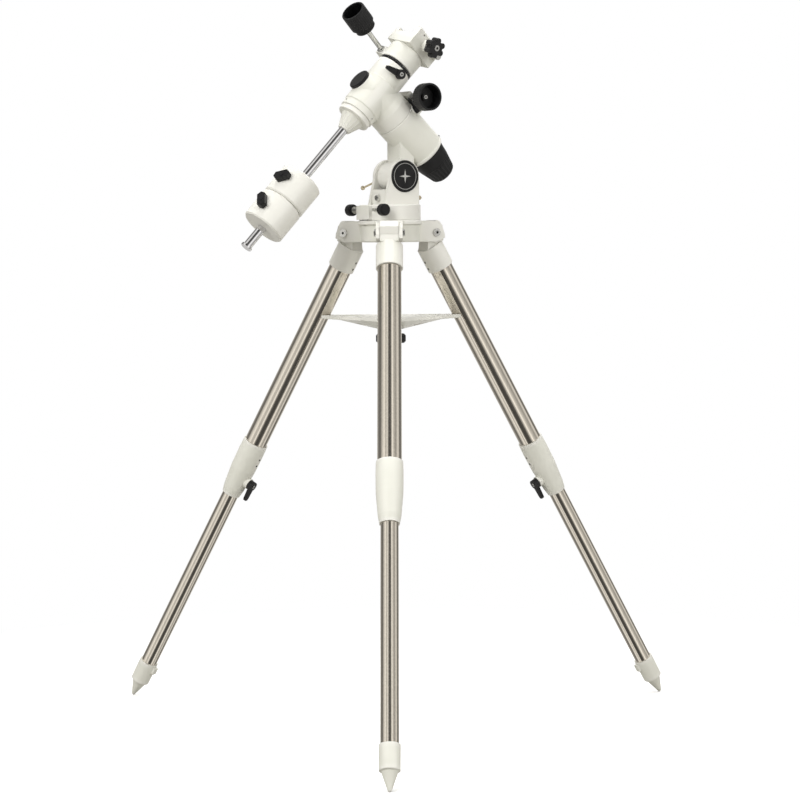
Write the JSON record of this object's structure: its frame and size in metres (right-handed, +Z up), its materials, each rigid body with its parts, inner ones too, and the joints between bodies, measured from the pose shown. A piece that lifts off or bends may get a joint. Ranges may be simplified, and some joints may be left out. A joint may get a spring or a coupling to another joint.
{
  "type": "equatorial telescope mount on tripod",
  "caption": "German equatorial mount with counterweights, slow motion knobs and a dovetail saddle, standing on a steel tube tripod with an accessory tray.",
  "frame": {"origin": "point on the floor under the azimuth axis", "axes": "+Z up along the azimuth axis, -Y along the front leg, +X to the right of someone who faces the front leg"},
  "size_m": [1.2368, 1.0789, 1.5705],
  "materials": {
    "cream_paint": "satin",
    "weight_paint": "satin",
    "black_plastic": "matte",
    "steel_tube": "polished",
    "bright_steel": "satin",
    "chrome_shaft": "polished",
    "brass_ends": "polished"
  },
  "bodies": {
    "tripod": {"tripod_hub": "cream_paint", "hinge_bolts": "bright_steel", "tray_rod": "bright_steel", "azimuth_peg": "bright_steel"},
    "leg_a": {"leg_a_bracket": "cream_paint", "leg_a_tube": "steel_tube", "leg_a_clamp": "cream_paint", "leg_a_screws": "bright_steel"},
    "leg_a_lower": {"leg_a_inner_tube": "steel_tube", "leg_a_foot": "cream_paint"},
    "leg_a_clamp_lever": {"leg_a_lever": "black_plastic"},
    "leg_b": {"leg_b_bracket": "cream_paint", "leg_b_tube": "steel_tube", "leg_b_clamp": "cream_paint", "leg_b_screws": "bright_steel"},
    "leg_b_lower": {"leg_b_inner_tube": "steel_tube", "leg_b_foot": "cream_paint"},
    "leg_b_clamp_lever": {"leg_b_lever": "black_plastic"},
    "leg_c": {"leg_c_bracket": "cream_paint", "leg_c_tube": "steel_tube", "leg_c_clamp": "cream_paint", "leg_c_screws": "bright_steel"},
    "leg_c_lower": {"leg_c_inner_tube": "steel_tube", "leg_c_foot": "cream_paint"},
    "leg_c_clamp_lever": {"leg_c_lever": "black_plastic"},
    "tray": {"tray": "cream_paint"},
    "tray_knob": {"tray_knob": "black_plastic"},
    "azimuth_base": {"fork": "cream_paint", "altitude_cover": "black_plastic", "altitude_bolt": "bright_steel", "web_screw": "bright_steel"},
    "azimuth_studs": {"azimuth_studs": "bright_steel"},
    "azimuth_knob_near": {"azimuth_knob_near": "black_plastic"},
    "azimuth_knob_far": {"azimuth_knob_far": "black_plastic"},
    "ra_housing": {"ra_housing": "cream_paint"},
    "latitude_bolt": {"latitude_bolt": "bright_steel"},
    "latitude_bar": {"latitude_bar": "brass_ends"},
    "altitude_lever": {"altitude_lever": "brass_ends"},
    "polar_cap": {"polar_cap": "black_plastic"},
    "ra_clutch_lever": {"ra_clutch_lever": "black_plastic"},
    "ra_head": {"ra_head": "cream_paint", "ra_shaft": "bright_steel", "polar_front_cap": "black_plastic", "counterweight_shaft": "chrome_shaft"},
    "ra_worm": {"ra_worm": "bright_steel", "ra_slow_knob": "black_plastic"},
    "shaft_lock_nut": {"shaft_lock_nut": "cream_paint"},
    "counterweight_lower": {"counterweight_lower": "weight_paint"},
    "weight_knob_lower": {"weight_knob_lower": "black_plastic"},
    "counterweight_upper": {"counterweight_upper": "weight_paint"},
    "weight_knob_upper": {"weight_knob_upper": "black_plastic"},
    "dec_clutch_lever": {"dec_clutch_lever": "black_plastic"},
    "saddle": {"saddle": "cream_paint", "dec_shaft": "bright_steel"},
    "dec_setting_circle": {"dec_setting_circle": "black_plastic"},
    "saddle_jaw": {"saddle_jaw": "cream_paint"},
    "saddle_knob": {"saddle_knob": "black_plastic"},
    "safety_screw": {"safety_screw": "bright_steel"},
    "dec_worm": {"dec_worm": "bright_steel", "dec_slow_knob": "black_plastic"}
  },
  "joints": [
    {"name": "leg_a_fold", "type": "hinge", "parent": "tripod", "child": "leg_a", "pos_m": [0, -0.1, 1.0743], "axis": [1, 0, 0], "range_deg": [0, 20]},
    {"name": "leg_a_extend", "type": "slide", "parent": "leg_a", "child": "leg_a_lower", "axis": [0, -0.5054, -0.8629], "range_m": [-0.43, 0.08]},
    {"name": "leg_a_lever_turn", "type": "hinge", "parent": "leg_a", "child": "leg_a_clamp_lever", "pos_m": [0, -0.37514, 0.50882], "axis": [0, 0.8629, -0.5054], "range_deg": [0, 90]},
    {"name": "leg_b_fold", "type": "hinge", "parent": "tripod", "child": "leg_b", "pos_m": [0.0866, 0.05, 1.0743], "axis": [-0.5, 0.866, 0], "range_deg": [0, 20]},
    {"name": "leg_b_extend", "type": "slide", "parent": "leg_b", "child": "leg_b_lower", "axis": [0.4377, 0.2527, -0.8629], "range_m": [-0.43, 0.08]},
    {"name": "leg_b_lever_turn", "type": "hinge", "parent": "leg_b", "child": "leg_b_clamp_lever", "pos_m": [0.32488, 0.18757, 0.50882], "axis": [-0.7473, -0.4314, -0.5054], "range_deg": [0, 90]},
    {"name": "leg_c_fold", "type": "hinge", "parent": "tripod", "child": "leg_c", "pos_m": [-0.0866, 0.05, 1.0743], "axis": [-0.5, -0.866, 0], "range_deg": [0, 20]},
    {"name": "leg_c_extend", "type": "slide", "parent": "leg_c", "child": "leg_c_lower", "axis": [-0.4377, 0.2527, -0.8629], "range_m": [-0.43, 0.08]},
    {"name": "leg_c_lever_turn", "type": "hinge", "parent": "leg_c", "child": "leg_c_clamp_lever", "pos_m": [-0.32488, 0.18757, 0.50882], "axis": [0.7473, -0.4314, -0.5054], "range_deg": [0, 90]},
    {"name": "tray_drop", "type": "slide", "parent": "tripod", "child": "tray", "axis": [0, 0, -1], "range_m": [0, 0.5]},
    {"name": "tray_knob_spin", "type": "hinge", "parent": "tray", "child": "tray_knob", "pos_m": [0, 0, 0.845], "axis": [0, 0, 1], "continuous": true},
    {"name": "azimuth_turn", "type": "hinge", "parent": "tripod", "child": "azimuth_base", "pos_m": [0, 0, 1.101], "axis": [0, 0, 1], "range_deg": [-6, 6]},
    {"name": "azimuth_studs_slide", "type": "slide", "parent": "azimuth_base", "child": "azimuth_studs", "axis": [-0.5563, 0.831, 0], "range_m": [-0.00615, 0.00615]},
    {"name": "azimuth_knob_near_spin", "type": "hinge", "parent": "azimuth_studs", "child": "azimuth_knob_near", "pos_m": [-0.01204, -0.08628, 1.124], "axis": [0.5563, -0.831, 0], "continuous": true},
    {"name": "azimuth_knob_far_spin", "type": "hinge", "parent": "azimuth_studs", "child": "azimuth_knob_far", "pos_m": [-0.08436, 0.02175, 1.124], "axis": [-0.5563, 0.831, 0], "continuous": true},
    {"name": "altitude_tilt", "type": "hinge", "parent": "azimuth_base", "child": "ra_housing", "pos_m": [0.01371, 0.00918, 1.196], "axis": [-0.5563, 0.831, 0], "range_deg": [-13, 13]},
    {"name": "latitude_bolt_slide", "type": "slide", "parent": "azimuth_base", "child": "latitude_bolt", "axis": [0.831, 0.5563, 0], "range_m": [-0.0107, 0.0107]},
    {"name": "latitude_bar_spin", "type": "hinge", "parent": "latitude_bolt", "child": "latitude_bar", "pos_m": [0.05734, 0.03838, 1.15], "axis": [0.831, 0.5563, 0], "continuous": true},
    {"name": "altitude_lever_turn", "type": "hinge", "parent": "azimuth_base", "child": "altitude_lever", "pos_m": [-0.00854, 0.04242, 1.196], "axis": [-0.5563, 0.831, 0], "range_deg": [0, 50]},
    {"name": "polar_cap_spin", "type": "hinge", "parent": "ra_housing", "child": "polar_cap", "pos_m": [0.0881, 0.05898, 1.23654], "axis": [0.6107, 0.4088, -0.6782], "continuous": true},
    {"name": "ra_clutch_turn", "type": "hinge", "parent": "ra_housing", "child": "ra_clutch_lever", "pos_m": [0.05656, -0.00305, 1.33883], "axis": [0.7918, -0.3208, 0.5197], "range_deg": [0, 25]},
    {"name": "ra_turn", "type": "hinge", "parent": "ra_housing", "child": "ra_head", "pos_m": [-0.03404, -0.02279, 1.37217], "axis": [-0.6107, -0.4088, 0.6782], "continuous": true},
    {"name": "ra_worm_spin", "type": "hinge", "parent": "ra_housing", "child": "ra_worm", "pos_m": [0.03853, 0.02579, 1.36506], "axis": [0.5563, -0.831, 0], "continuous": true},
    {"name": "lock_nut_spin", "type": "hinge", "parent": "ra_head", "child": "shaft_lock_nut", "pos_m": [-0.08233, -0.0479, 1.31354], "axis": [-0.6037, -0.3139, -0.7328], "continuous": true},
    {"name": "counterweight_lower_slide", "type": "slide", "parent": "ra_head", "child": "counterweight_lower", "axis": [0.6037, 0.3139, 0.7328], "range_m": [-0.045, 0]},
    {"name": "weight_knob_lower_spin", "type": "hinge", "parent": "counterweight_lower", "child": "weight_knob_lower", "pos_m": [-0.25687, -0.15426, 1.12966], "axis": [-0.3369, -0.7327, 0.5913], "continuous": true},
    {"name": "counterweight_upper_slide", "type": "slide", "parent": "ra_head", "child": "counterweight_upper", "axis": [0.6037, 0.3139, 0.7328], "range_m": [0, 0.13]},
    {"name": "weight_knob_upper_spin", "type": "hinge", "parent": "counterweight_upper", "child": "weight_knob_upper", "pos_m": [-0.21461, -0.13229, 1.18096], "axis": [-0.3369, -0.7327, 0.5913], "continuous": true},
    {"name": "dec_clutch_turn", "type": "hinge", "parent": "ra_head", "child": "dec_clutch_lever", "pos_m": [0.02524, -0.04252, 1.41366], "axis": [0.5125, -0.8569, -0.0551], "range_deg": [0, 40]},
    {"name": "dec_turn", "type": "hinge", "parent": "ra_head", "child": "saddle", "pos_m": [0.01425, 0.00232, 1.4308], "axis": [0.6037, 0.3139, 0.7328], "range_deg": [-130, 112]},
    {"name": "dec_circle_spin", "type": "hinge", "parent": "saddle", "child": "dec_setting_circle", "pos_m": [0.01365, 0.00201, 1.43006], "axis": [0.6037, 0.3139, 0.7328], "continuous": true},
    {"name": "jaw_slide", "type": "slide", "parent": "saddle", "child": "saddle_jaw", "axis": [0.6239, -0.7582, -0.1892], "range_m": [0, 0.004]},
    {"name": "saddle_knob_spin", "type": "hinge", "parent": "saddle_jaw", "child": "saddle_knob", "pos_m": [0.09516, -0.02057, 1.47221], "axis": [0.6239, -0.7582, -0.1892], "range_deg": [0, 1150]},
    {"name": "safety_screw_spin", "type": "hinge", "parent": "saddle", "child": "safety_screw", "pos_m": [0.1038, 0.00416, 1.45449], "axis": [0.6239, -0.7582, -0.1892], "continuous": true},
    {"name": "dec_worm_spin", "type": "hinge", "parent": "saddle", "child": "dec_worm", "pos_m": [-0.00302, 0.04531, 1.45527], "axis": [-0.4963, -0.5715, 0.6536], "continuous": true}
  ],
  "couplings": [
    {"joint": "leg_b_fold", "follows": "leg_a_fold", "ratio": 1},
    {"joint": "leg_c_fold", "follows": "leg_a_fold", "ratio": 1},
    {"joint": "tray_drop", "follows": "leg_a_fold", "m_per_rad": 1.43},
    {"joint": "azimuth_studs_slide", "follows": "azimuth_turn", "m_per_rad": 0.058},
    {"joint": "azimuth_knob_near_spin", "follows": "azimuth_turn", "ratio": -364.43},
    {"joint": "azimuth_knob_far_spin", "follows": "azimuth_turn", "ratio": 364.43},
    {"joint": "latitude_bolt_slide", "follows": "altitude_tilt", "m_per_rad": -0.046},
    {"joint": "latitude_bar_spin", "follows": "altitude_tilt", "ratio": -231.22},
    {"joint": "ra_worm_spin", "follows": "ra_turn", "ratio": 144},
    {"joint": "jaw_slide", "follows": "saddle_knob_spin", "m_per_rad": 0.00019894},
    {"joint": "dec_worm_spin", "follows": "dec_turn", "ratio": 144}
  ]
}
